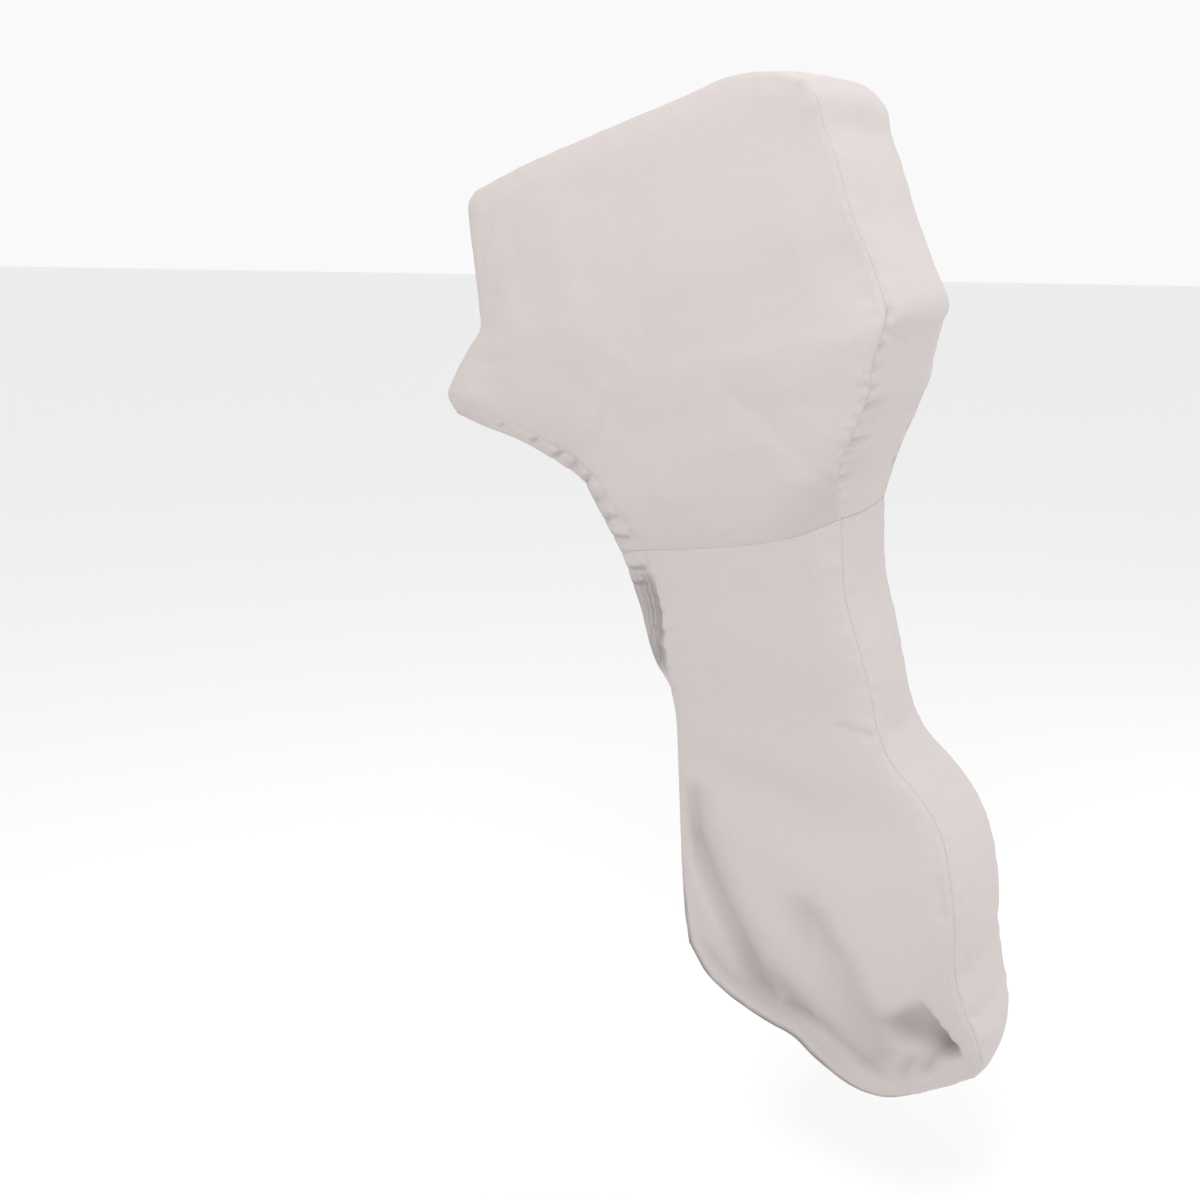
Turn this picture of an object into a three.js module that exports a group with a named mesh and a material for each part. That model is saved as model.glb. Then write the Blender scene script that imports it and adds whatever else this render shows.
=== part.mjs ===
import * as THREE from 'three';

// A full-length fitted cover in the shape that it takes over an engine, sewn from two
// hood sides, a hood gusset, two leg sides and a leg gusset. Sizes are in millimetres.
// +X points to the rear, +Y to starboard and +Z up. The origin lies against the inside
// of the roof, where the cover is carried.

const cloth = { thickness: 2, seamGap: 0.3 };

// The cloth turns over each outline edge within `reach`, and rises by `rise` as it does
const edgeTurn = { reach: 36, rise: 14 };

// The hem is a channel along the opening, puffed out before its row of stitches
const hem = { channel: 27, puff: 3, groove: 2, grooveSpread: 5 };

// Outline of the side panels, a stretch at a time. Each row is a point on the seam:
// how far back it lies, how far up, and half the width of the cover there.
const outline = {
  hoodFront: [
    { back: -447, up: -169, half: 153 },
    { back: -459, up: -186, half: 153 },
    { back: -460, up: -206, half: 153 },
    { back: -449, up: -276, half: 158 },
    { back: -439, up: -350, half: 161 },
    { back: -438, up: -382, half: 161 },
    { back: -456, up: -408, half: 161 },
    { back: -486, up: -458, half: 161 },
    { back: -498, up: -488, half: 161 },
    { back: -481, up: -518, half: 161 },
  ],
  roof: [
    { back: -447, up: -169, half: 153 },
    { back: -361, up: -132, half: 161 },
    { back: -222, up: -82, half: 168 },
    { back: -101, up: -39, half: 170 },
    { back: -20, up: -10, half: 174 },
    { back: 45, up: -7, half: 182 },
    { back: 94, up: -18, half: 190 },
  ],
  hoodRear: [
    { back: 94, up: -18, half: 190 },
    { back: 113, up: -42, half: 187 },
    { back: 125, up: -86, half: 181 },
    { back: 140, up: -121, half: 179 },
    { back: 172, up: -214, half: 180 },
    { back: 202, up: -285, half: 170 },
    { back: 222, up: -343, half: 178 },
    { back: 218, up: -372, half: 187 },
    { back: 206, up: -420, half: 188 },
    { back: 201, up: -458, half: 184 },
    { back: 178, up: -522, half: 187 },
    { back: 160, up: -569, half: 180 },
    { back: 153, up: -605, half: 158 },
    { back: 148, up: -652, half: 121 },
  ],
  hoodHem: [
    { back: -481, up: -518, half: 161 },
    { back: -431, up: -534, half: 161 },
    { back: -363, up: -556, half: 159 },
    { back: -307, up: -585, half: 153 },
    { back: -266, up: -613, half: 144 },
    { back: -247, up: -648, half: 138 },
    { back: -208, up: -727, half: 123 },
  ],
  waist: [
    { back: -208, up: -727, half: 123 },
    { back: -165, up: -719, half: 131 },
    { back: -24, up: -701, half: 139 },
    { back: 87, up: -678, half: 136 },
    { back: 148, up: -652, half: 121 },
  ],
  legHem: [
    { back: -208, up: -727, half: 123 },
    { back: -180, up: -813, half: 108 },
    { back: -161, up: -895, half: 98 },
    { back: -136, up: -951, half: 93 },
  ],
  legFront: [
    { back: -136, up: -951, half: 93 },
    { back: -126, up: -994, half: 95 },
    { back: -120, up: -1073, half: 98 },
    { back: -115, up: -1172, half: 99 },
    { back: -111, up: -1256, half: 98 },
    { back: -106, up: -1330, half: 96 },
    { back: -99, up: -1384, half: 94 },
  ],
  sole: [
    { back: -99, up: -1384, half: 94 },
    { back: -65, up: -1436, half: 94 },
    { back: -10, up: -1475, half: 94 },
    { back: 46, up: -1503, half: 92 },
    { back: 80, up: -1517, half: 90 },
    { back: 128, up: -1557, half: 86 },
    { back: 185, up: -1592, half: 80 },
    { back: 232, up: -1603, half: 72 },
    { back: 275, up: -1594, half: 64 },
    { back: 315, up: -1577, half: 59 },
    { back: 351, up: -1560, half: 56 },
  ],
  legRear: [
    { back: 148, up: -652, half: 121 },
    { back: 156, up: -770, half: 115 },
    { back: 178, up: -850, half: 110 },
    { back: 196, up: -920, half: 102 },
    { back: 211, up: -981, half: 103 },
    { back: 233, up: -1027, half: 106 },
    { back: 284, up: -1080, half: 109 },
    { back: 319, up: -1130, half: 119 },
    { back: 340, up: -1190, half: 137 },
    { back: 352, up: -1260, half: 149 },
    { back: 357, up: -1340, half: 150 },
    { back: 371, up: -1405, half: 134 },
    { back: 387, up: -1458, half: 113 },
    { back: 390, up: -1495, half: 96 },
    { back: 382, up: -1530, half: 79 },
    { back: 351, up: -1560, half: 56 },
  ],
};

// Crown of the gussets past the seams, by the share of the stretch that has been run
const crown = {
  hoodFront: [{ at: 0, rise: 8 }, { at: 0.4, rise: 14 }, { at: 1, rise: 10 }],
  roof: [{ at: 0, rise: 10 }, { at: 0.5, rise: 12 }, { at: 0.85, rise: 9 }, { at: 1, rise: 11 }],
  hoodRear: [
    { at: 0, rise: 14 },
    { at: 0.25, rise: 16 },
    { at: 0.47, rise: 24 },
    { at: 0.55, rise: 18 },
    { at: 0.62, rise: 24 },
    { at: 0.7, rise: 16 },
    { at: 0.77, rise: 21 },
    { at: 0.87, rise: 12 },
    { at: 1, rise: 6 },
  ],
  legRear: [
    { at: 0, rise: 6 },
    { at: 0.2, rise: 12 },
    { at: 0.45, rise: 10 },
    { at: 0.7, rise: 20 },
    { at: 0.85, rise: 14 },
    { at: 1, rise: 8 },
  ],
  sole: [{ at: 0, rise: 10 }, { at: 0.5, rise: 12 }, { at: 1, rise: 8 }],
  legFront: [{ at: 0, rise: 8 }, { at: 1, rise: 10 }],
};

// The ridge along the widest line of the hood, by the share of the panel from front to rear
const hoodRidge = [
  { across: 0, height: 0.6, rise: 0 },
  { across: 0.12, height: 0.56, rise: 16 },
  { across: 0.3, height: 0.46, rise: 34 },
  { across: 0.6, height: 0.4, rise: 40 },
  { across: 0.85, height: 0.42, rise: 30 },
  { across: 1, height: 0.46, rise: 0 },
];

// How far the leg panels bulge past their edges, by the share of their height from the waist
const legBulge = [
  { down: 0, rise: 0 },
  { down: 0.18, rise: 12 },
  { down: 0.36, rise: 12 },
  { down: 0.46, rise: 5 },
  { down: 0.6, rise: 24 },
  { down: 0.74, rise: 34 },
  { down: 0.87, rise: 22 },
  { down: 1, rise: 0 },
];

// Main folds of the photographed side. Each runs through its points and is a trough where
// `depth` is positive and a soft ridge where it is negative.
const folds = [
  { name: 'toe valley', depth: 17, spread: 15,
    path: [[-112, -1130], [-66, -1204], [-25, -1278], [12, -1352], [38, -1420], [46, -1466]] },
  { name: 'toe flap', depth: -7, spread: 20,
    path: [[-90, -1235], [-48, -1320], [-8, -1400], [10, -1440]] },
  { name: 'foot valley', depth: 12, spread: 26,
    path: [[85, -1262], [134, -1284], [182, -1345], [216, -1408], [224, -1462]] },
  { name: 'sole fold', depth: 11, spread: 15,
    path: [[30, -1466], [118, -1478], [190, -1520], [238, -1562]] },
  { name: 'heel dent', depth: 32, spread: 32, path: [[292, -1396], [316, -1432], [330, -1490]] },
  { name: 'heel dent foot', depth: 14, spread: 24, path: [[345, -1440], [360, -1490], [300, -1540]] },
  { name: 'waist crease', depth: 6, spread: 16, path: [[14, -464], [82, -532], [150, -600]] },
  { name: 'hem ridge', depth: -6, spread: 14, path: [[-203, -448], [-226, -505], [-246, -552]] },
  { name: 'front streak', depth: -4, spread: 12, path: [[-312, -172], [-355, -250], [-398, -330]] },
  { name: 'lip bulge', depth: -12, spread: 30, path: [[-455, -462], [-430, -490]] },
];

// The two sides hang alike, but the far side's folds are weaker and lie a little lower
const sides = [
  { name: 'port', hand: -1, foldShare: 1, foldDrop: 0 },
  { name: 'starboard', hand: 1, foldShare: 0.6, foldDrop: 24 },
];

// Cells of the panels' grids: edge cells follow the turn of the cloth
const grid = {
  edgeCells: [0, 7, 18, 36],
  hoodAcross: 27,
  hoodDown: 13,
  legAcross: 11,
  legDown: 24,
  gussetAcross: 6,
  hemColumns: 16,
  hemRows: 8,
};

const coverMaterial = { color: 0xd5cbc8, roughness: 0.85, metalness: 0 };

const smoothStep = (t) => t * t * (3 - 2 * t);

// Value of a named column at a place in a short table, eased from row to row
function fromTable(rows, key, column, place) {
  const after = rows.findIndex((row) => row[key] >= place);
  if (after === 0) return rows[0][column];
  if (after < 0) return rows[rows.length - 1][column];
  const low = rows[after - 1];
  const high = rows[after];
  const share = (place - low[key]) / (high[key] - low[key]);
  return low[column] + (high[column] - low[column]) * smoothStep(share);
}

// A seam or hem as a curve in space, on the +Y side
function edgeCurve(rows) {
  const points = rows.map((row) => new THREE.Vector3(row.back, row.half, row.up));
  const curve = new THREE.CatmullRomCurve3(points, false, 'centripetal');
  curve.arcLengthDivisions = 400;
  return (share) => curve.getPointAt(THREE.MathUtils.clamp(share, 0, 1));
}

const edges = Object.fromEntries(Object.entries(outline).map(([name, rows]) => [name, edgeCurve(rows)]));

// Two stretches run one after the other, the first up to the share `at`
function joined(first, second, at) {
  return (share) => (share <= at ? first(share / at) : second((share - at) / (1 - at)));
}

// Points along a stretch, flattened to the plane of symmetry
function flattened(names) {
  const steps = 160;
  return names.map((name) =>
    Array.from({ length: steps + 1 }, (_, i) => {
      const point = edges[name](i / steps);
      return [point.x, point.z];
    }),
  );
}

const hemNames = ['hoodHem', 'legHem'];
const seamNames = ['hoodFront', 'roof', 'hoodRear', 'legRear', 'sole', 'legFront'];
const seamPaths = flattened([...seamNames, ...hemNames]);
const hemPaths = flattened(hemNames);

// Distance from a point to a path, and how far along the path the nearest point lies
function nearestOnPath(x, z, path) {
  let best = { distance: Infinity, along: 0 };
  let run = 0;
  for (let i = 1; i < path.length; i += 1) {
    const [ax, az] = path[i - 1];
    const [bx, bz] = path[i];
    const length = Math.hypot(bx - ax, bz - az);
    const ahead = ((x - ax) * (bx - ax) + (z - az) * (bz - az)) / (length * length);
    const share = THREE.MathUtils.clamp(ahead, 0, 1);
    const distance = Math.hypot(x - ax - share * (bx - ax), z - az - share * (bz - az));
    if (distance < best.distance) best = { distance, along: run + share * length };
    run += length;
  }
  return { ...best, length: run };
}

const nearestOf = (x, z, paths) =>
  paths.map((path) => nearestOnPath(x, z, path)).reduce((a, b) => (b.distance < a.distance ? b : a));

// A fold fades out at its two ends and towards the outline
function foldDepth(x, z, side) {
  let depth = 0;
  for (const fold of folds) {
    const near = nearestOnPath(x, z + side.foldDrop, fold.path);
    const ends = Math.min(near.along, near.length - near.along) + fold.spread;
    const fade = smoothStep(Math.min(1, ends / (3 * fold.spread)));
    depth += side.foldShare * fold.depth * fade * Math.exp(-((near.distance / fold.spread) ** 2));
  }
  return depth;
}

// Half the width of the cover past the plain sheet between its edges
function relief(x, z, side) {
  const flatness = 0.4;
  const toEdge = Math.max(0, nearestOf(x, z, seamPaths).distance - flatness);
  const toHem = nearestOf(x, z, hemPaths);
  const turn = Math.min(1, toEdge / edgeTurn.reach);
  const lift = edgeTurn.rise * Math.sqrt(1 - (1 - turn) ** 2);
  const acrossHem = Math.min(1, toHem.distance / hem.channel);
  const puff = hem.puff * Math.sin(Math.PI * acrossHem);
  const groove = hem.groove * Math.exp(-(((toHem.distance - hem.channel) / hem.grooveSpread) ** 2));
  return lift + (puff - groove - foldDepth(x, z, side)) * turn;
}

// A four-sided sheet blended between its edge curves
function blended({ top, bottom, left, right }, across, down) {
  const point = new THREE.Vector3();
  point.addScaledVector(top(across), 1 - down);
  point.addScaledVector(bottom(across), down);
  point.addScaledVector(left(down), 1 - across);
  point.addScaledVector(right(down), across);
  point.addScaledVector(top(0), -(1 - across) * (1 - down));
  point.addScaledVector(top(1), -across * (1 - down));
  point.addScaledVector(bottom(0), -(1 - across) * down);
  point.addScaledVector(bottom(1), -across * down);
  return point;
}

// Shares of a row of cells: narrow ones at an edge that turns, even ones between
function cellShares(count, length, turnsAtStart, turnsAtEnd) {
  const narrow = grid.edgeCells.map((distance) => distance / length);
  const start = turnsAtStart ? narrow : [0];
  const end = turnsAtEnd ? narrow : [0];
  const from = start[start.length - 1];
  const to = 1 - end[end.length - 1];
  const even = Array.from({ length: count - 1 }, (_, i) => from + ((to - from) * (i + 1)) / count);
  return [...start, ...even, ...end.map((share) => 1 - share).reverse()];
}

const hoodAcross = cellShares(grid.hoodAcross, 590, true, true);
const hoodDown = cellShares(grid.hoodDown, 600, true, true);
const legAcross = cellShares(grid.legAcross, 320, true, true);
const legDown = cellShares(grid.legDown, 900, false, true);
const hemEnd = hoodAcross[grid.hemColumns];
const hemFoot = legDown[grid.hemRows];

// The waist is divided for the leg panel, and the hood's columns meet it there
const waistColumns = hoodAcross.slice(grid.hemColumns).map((share) => (share - hemEnd) / (1 - hemEnd));
function waistEdge(share) {
  const after = Math.max(1, waistColumns.findIndex((column) => column >= share - 1e-9));
  const within = (share - waistColumns[after - 1]) / (waistColumns[after] - waistColumns[after - 1]);
  return edges.waist(THREE.MathUtils.lerp(legAcross[after - 1], legAcross[after], within));
}

const hoodEdges = {
  top: edges.roof,
  bottom: joined(edges.hoodHem, waistEdge, hemEnd),
  left: edges.hoodFront,
  right: edges.hoodRear,
};

const legEdges = {
  top: edges.waist,
  bottom: edges.sole,
  left: joined(edges.legHem, edges.legFront, hemFoot),
  right: edges.legRear,
};

function hoodBulge(across, down) {
  const height = fromTable(hoodRidge, 'across', 'height', across);
  const rise = fromTable(hoodRidge, 'across', 'rise', across);
  const slope = down < height ? down / height : (1 - down) / (1 - height);
  const softness = 0.12;
  const soft = slope > 1 - softness ? 1 - softness / 2 - (1 - slope) ** 2 / (2 * softness) : slope;
  return (rise * soft) / (1 - softness / 2);
}

function legBulgeAt(across, down) {
  const plateau = 1 - Math.abs(2 * across - 1) ** 2.6;
  return fromTable(legBulge, 'down', 'rise', down) * plateau;
}

function panelGrid(panelEdges, acrossShares, downShares, bulge, side) {
  return downShares.map((down) =>
    acrossShares.map((across) => {
      const point = blended(panelEdges, across, down);
      const half = point.y + bulge(across, down) + relief(point.x, point.z, side);
      return new THREE.Vector3(point.x, side.hand * half, point.z);
    }),
  );
}

// Stations on the outline from the front lip over the roof, down the rear, under the foot
// and up the front to the lower end of the opening
const legFrontShares = legDown.slice(grid.hemRows).map((share) => (share - hemFoot) / (1 - hemFoot));
const run = [
  { name: 'hoodFront', shares: [...hoodDown].reverse() },
  { name: 'roof', shares: hoodAcross },
  { name: 'hoodRear', shares: hoodDown },
  { name: 'legRear', shares: legDown },
  { name: 'sole', shares: [...legAcross].reverse() },
  { name: 'legFront', shares: [...legFrontShares].reverse() },
];
const stations = [];
for (const { name, shares } of run) {
  for (const share of shares) {
    const point = edges[name](share);
    const last = stations[stations.length - 1];
    const rise = fromTable(crown[name], 'at', 'rise', share);
    if (!last || last.point.distanceTo(point) > 0.01) stations.push({ point, rise });
  }
}

// A gusset is crowned between its two seams, square to the outline
function gussetRow({ point, rise }, i) {
  const behind = stations[Math.max(0, i - 1)].point;
  const ahead = stations[Math.min(stations.length - 1, i + 1)].point;
  const outward = new THREE.Vector3(behind.z - ahead.z, 0, ahead.x - behind.x).normalize();
  return Array.from({ length: grid.gussetAcross + 1 }, (_, j) => {
    const across = (2 * j) / grid.gussetAcross - 1;
    const lift = rise * (1 - Math.abs(across) ** 3.2);
    return new THREE.Vector3(point.x + outward.x * lift, point.y * across, point.z + outward.z * lift);
  });
}

const gussetRows = stations.map(gussetRow);
const waistPoint = edges.hoodRear(1);
const waistStation = stations.findIndex(({ point }) => point.distanceTo(waistPoint) < 0.01);

const pieces = [
  { name: 'hood_gusset', rows: gussetRows.slice(0, waistStation + 1), turned: false },
  { name: 'leg_gusset', rows: gussetRows.slice(waistStation), turned: false },
];
for (const side of sides) {
  const turned = side.hand > 0;
  pieces.push({
    name: `hood_side_${side.name}`,
    rows: panelGrid(hoodEdges, hoodAcross, hoodDown, hoodBulge, side),
    turned,
  });
  pieces.push({
    name: `leg_side_${side.name}`,
    rows: panelGrid(legEdges, legAcross, legDown, legBulgeAt, side),
    turned,
  });
}

const placeKey = (point) => `${point.x.toFixed(2)},${point.y.toFixed(2)},${point.z.toFixed(2)}`;

// The four corners of a cell in the order that makes its face point outwards
function cellCorners(rows, i, j, turned) {
  const corners = [[i, j], [i + 1, j], [i + 1, j + 1], [i, j + 1]];
  return turned ? corners.reverse() : corners;
}

function forEachCell(rows, visit) {
  for (let i = 0; i + 1 < rows.length; i += 1) {
    for (let j = 0; j + 1 < rows[i].length; j += 1) visit(i, j);
  }
}

// Normals are shared where pieces meet, so that both sides of a seam have the same rim
const normals = new Map();
const pieceCount = new Map();
for (const piece of pieces) {
  const { rows, turned } = piece;
  forEachCell(rows, (i, j) => {
    const corners = cellCorners(rows, i, j, turned).map(([row, column]) => rows[row][column]);
    const first = corners[2].clone().sub(corners[0]);
    const second = corners[3].clone().sub(corners[1]);
    const facing = first.cross(second);
    for (const corner of corners) {
      const key = placeKey(corner);
      if (!normals.has(key)) normals.set(key, new THREE.Vector3());
      normals.get(key).add(facing);
    }
  });
  for (const key of new Set(rows.flat().map(placeKey))) pieceCount.set(key, (pieceCount.get(key) ?? 0) + 1);
}
for (const normal of normals.values()) normal.normalize();

// Moves a seam point into its own piece by half the gap, square to the seam
function seamInset(rows, i, j) {
  const here = rows[i][j];
  const shift = new THREE.Vector3();
  if ((pieceCount.get(placeKey(here)) ?? 1) < 2) return shift;
  const lastRow = rows.length - 1;
  const lastColumn = rows[0].length - 1;
  const isShared = (row, column) => pieceCount.get(placeKey(rows[row][column])) > 1;
  const inward = [];
  if (i === 0 && isShared(0, j === 0 ? 1 : j - 1)) inward.push([1, j]);
  if (i === lastRow && isShared(lastRow, j === 0 ? 1 : j - 1)) inward.push([lastRow - 1, j]);
  if (j === 0 && isShared(i === 0 ? 1 : i - 1, 0)) inward.push([i, 1]);
  if (j === lastColumn && isShared(i === 0 ? 1 : i - 1, lastColumn)) inward.push([i, lastColumn - 1]);
  for (const [row, column] of inward) {
    const alongRow = row !== i;
    const before = alongRow ? rows[i][Math.max(0, j - 1)] : rows[Math.max(0, i - 1)][j];
    const after = alongRow ? rows[i][Math.min(lastColumn, j + 1)] : rows[Math.min(lastRow, i + 1)][j];
    const seam = after.clone().sub(before).normalize();
    const way = rows[row][column].clone().sub(here);
    way.addScaledVector(seam, -way.dot(seam));
    shift.addScaledVector(way.normalize(), cloth.seamGap / 2);
  }
  return shift;
}

// Closed solid of one piece: its outer face, its inner face and the rim between them
function clothSolid({ rows, turned }) {
  const columns = rows[0].length;
  const layer = rows.length * columns;
  const positions = [];
  for (const depth of [0, cloth.thickness]) {
    rows.forEach((row, i) => row.forEach((point, j) => {
      const place = point.clone().addScaledVector(normals.get(placeKey(point)), -depth);
      place.add(seamInset(rows, i, j));
      positions.push(place.x, place.y, place.z);
    }));
  }
  const index = [];
  const addFace = (a, b, c, d) => index.push(a, b, c, a, c, d);
  forEachCell(rows, (i, j) => {
    const outer = cellCorners(rows, i, j, turned).map(([row, column]) => row * columns + column);
    const inner = outer.map((vertex) => vertex + layer);
    addFace(...outer);
    addFace(inner[0], inner[3], inner[2], inner[1]);
  });
  const around = [];
  for (let j = 0; j < columns - 1; j += 1) around.push(j);
  for (let i = 0; i < rows.length - 1; i += 1) around.push(i * columns + columns - 1);
  for (let j = columns - 1; j > 0; j -= 1) around.push((rows.length - 1) * columns + j);
  for (let i = rows.length - 1; i > 0; i -= 1) around.push(i * columns);
  around.forEach((vertex, i) => {
    const next = around[(i + 1) % around.length];
    if (turned) addFace(vertex, vertex + layer, next + layer, next);
    else addFace(next, next + layer, vertex + layer, vertex);
  });
  const geometry = new THREE.BufferGeometry();
  geometry.setAttribute('position', new THREE.Float32BufferAttribute(positions, 3));
  geometry.setIndex(index);
  geometry.computeVertexNormals();
  return geometry;
}

const cover = new THREE.Group();
for (const piece of pieces) {
  const mesh = new THREE.Mesh(clothSolid(piece), new THREE.MeshStandardMaterial(coverMaterial));
  mesh.name = piece.name;
  cover.add(mesh);
}

export default cover;
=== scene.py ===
import math

import bpy
import numpy as np
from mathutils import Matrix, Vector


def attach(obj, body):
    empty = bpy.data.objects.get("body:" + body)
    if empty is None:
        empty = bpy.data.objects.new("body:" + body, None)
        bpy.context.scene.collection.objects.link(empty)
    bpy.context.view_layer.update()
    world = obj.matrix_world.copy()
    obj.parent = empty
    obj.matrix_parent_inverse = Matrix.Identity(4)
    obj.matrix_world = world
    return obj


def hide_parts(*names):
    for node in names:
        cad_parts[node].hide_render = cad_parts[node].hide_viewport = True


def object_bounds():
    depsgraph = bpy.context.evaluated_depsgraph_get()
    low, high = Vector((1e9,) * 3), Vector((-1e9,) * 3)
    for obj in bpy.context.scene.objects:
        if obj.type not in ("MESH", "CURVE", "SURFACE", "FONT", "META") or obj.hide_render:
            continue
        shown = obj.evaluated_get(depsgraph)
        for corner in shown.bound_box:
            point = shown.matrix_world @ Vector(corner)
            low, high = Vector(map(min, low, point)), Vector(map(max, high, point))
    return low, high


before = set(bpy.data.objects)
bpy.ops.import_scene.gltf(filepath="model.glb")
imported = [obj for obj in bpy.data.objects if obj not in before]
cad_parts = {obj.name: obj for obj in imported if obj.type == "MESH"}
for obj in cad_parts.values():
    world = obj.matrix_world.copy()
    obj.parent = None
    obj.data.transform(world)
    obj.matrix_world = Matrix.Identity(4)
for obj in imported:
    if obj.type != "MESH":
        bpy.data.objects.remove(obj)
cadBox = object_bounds()
print("frame loaded:", sorted(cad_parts))

# Half pattern of the side panels, a stretch at a time: back, half width and height, in metres
pattern = {
    "hoodFront": [
        (-0.447, 0.153, -0.169), (-0.459, 0.153, -0.186), (-0.460, 0.153, -0.206),
        (-0.449, 0.158, -0.276), (-0.439, 0.161, -0.350), (-0.438, 0.161, -0.382),
        (-0.456, 0.161, -0.408), (-0.486, 0.161, -0.458), (-0.498, 0.161, -0.488),
        (-0.481, 0.161, -0.518),
    ],
    "roof": [
        (-0.447, 0.153, -0.169), (-0.361, 0.161, -0.132), (-0.222, 0.168, -0.082),
        (-0.101, 0.170, -0.039), (-0.020, 0.174, -0.010), (0.045, 0.182, -0.007),
        (0.094, 0.190, -0.018),
    ],
    "hoodRear": [
        (0.094, 0.190, -0.018), (0.113, 0.187, -0.042), (0.125, 0.181, -0.086),
        (0.140, 0.179, -0.121), (0.172, 0.180, -0.214), (0.202, 0.170, -0.285),
        (0.222, 0.178, -0.343), (0.218, 0.187, -0.372), (0.206, 0.188, -0.420),
        (0.201, 0.184, -0.458), (0.178, 0.187, -0.522), (0.160, 0.180, -0.569),
        (0.153, 0.158, -0.605), (0.148, 0.121, -0.652),
    ],
    "hoodHem": [
        (-0.481, 0.161, -0.518), (-0.431, 0.161, -0.534), (-0.363, 0.159, -0.556),
        (-0.307, 0.153, -0.585), (-0.266, 0.144, -0.613), (-0.247, 0.138, -0.648),
        (-0.208, 0.123, -0.727),
    ],
    "waist": [
        (-0.208, 0.123, -0.727), (-0.165, 0.131, -0.719), (-0.024, 0.139, -0.701),
        (0.087, 0.136, -0.678), (0.148, 0.121, -0.652),
    ],
    "legHem": [
        (-0.208, 0.123, -0.727), (-0.180, 0.108, -0.813), (-0.161, 0.098, -0.895),
        (-0.136, 0.093, -0.951),
    ],
    "legFront": [
        (-0.136, 0.093, -0.951), (-0.126, 0.095, -0.994), (-0.120, 0.098, -1.073),
        (-0.115, 0.099, -1.172), (-0.111, 0.098, -1.256), (-0.106, 0.096, -1.330),
        (-0.099, 0.094, -1.384),
    ],
    "sole": [
        (-0.099, 0.094, -1.384), (-0.065, 0.094, -1.436), (-0.010, 0.094, -1.475),
        (0.046, 0.092, -1.503), (0.080, 0.090, -1.517), (0.128, 0.086, -1.557),
        (0.185, 0.080, -1.592), (0.232, 0.072, -1.603), (0.275, 0.064, -1.594),
        (0.315, 0.059, -1.577), (0.351, 0.056, -1.560),
    ],
    "legRear": [
        (0.148, 0.121, -0.652), (0.156, 0.115, -0.770), (0.178, 0.110, -0.850),
        (0.196, 0.102, -0.920), (0.211, 0.103, -0.981), (0.233, 0.106, -1.027),
        (0.284, 0.109, -1.080), (0.319, 0.119, -1.130), (0.340, 0.137, -1.190),
        (0.352, 0.149, -1.260), (0.357, 0.150, -1.340), (0.371, 0.134, -1.405),
        (0.387, 0.113, -1.458), (0.390, 0.096, -1.495), (0.382, 0.079, -1.530),
        (0.351, 0.056, -1.560),
    ],
}

# Crown of the gussets past the seams: share of the stretch, rise
crown = {
    "hoodFront": [(0, 0.008), (0.4, 0.014), (1, 0.010)],
    "roof": [(0, 0.010), (0.5, 0.012), (0.85, 0.009), (1, 0.011)],
    "hoodRear": [
        (0, 0.014), (0.25, 0.016), (0.47, 0.023), (0.55, 0.020), (0.62, 0.018),
        (0.7, 0.016), (0.77, 0.015), (0.87, 0.011), (1, 0.006),
    ],
    "legRear": [(0, 0.006), (0.2, 0.012), (0.45, 0.010), (0.7, 0.020), (0.85, 0.014), (1, 0.008)],
    "sole": [(0, 0.010), (0.5, 0.012), (1, 0.008)],
    "legFront": [(0, 0.008), (1, 0.010)],
}

cloth = {
    "thickness": 0.0016,
    "cell": 0.004,  # mesh cell away from the seams
    # mesh lines beside a seam, by their distance from it
    "edgeCells": [0, 0.0012, 0.0026, 0.0044, 0.0066, 0.0094],
    "seamGap": 0.00001,  # each panel stops this far from the seam
    "turnReach": 0.036, "turnRise": 0.014,  # how the cloth rounds over at an edge
    # seam allowance under the cloth beside a seam
    "weltHeight": 0.0003, "weltReach": 0.011, "weltSpread": 0.004,
    # distance over which the relief sets in: beside a seam, fine creases, broad waves
    "seamEase": 0.004, "edgeEase": 0.012, "broadEase": 0.05,
}

waist = {
    "fill": 0.012, "fillSpread": 0.075,  # the cloth spans the hollow over the seam
    # above the seam it hangs straighter than the pattern, between a front and a rear end
    "ease": 0.014, "easeAbove": 0.095, "easeSpread": 0.055,
    "easeFront": -0.16, "frontLength": 0.2, "easeRear": 0.15, "rearLength": 0.12,
    "sewnEase": 0.045, "hemEase": 0.07,  # distance from the other edges over which both set in
    "seamReach": 0.03,  # nearer than this the stitches and the soil follow the waist seam
}

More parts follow.
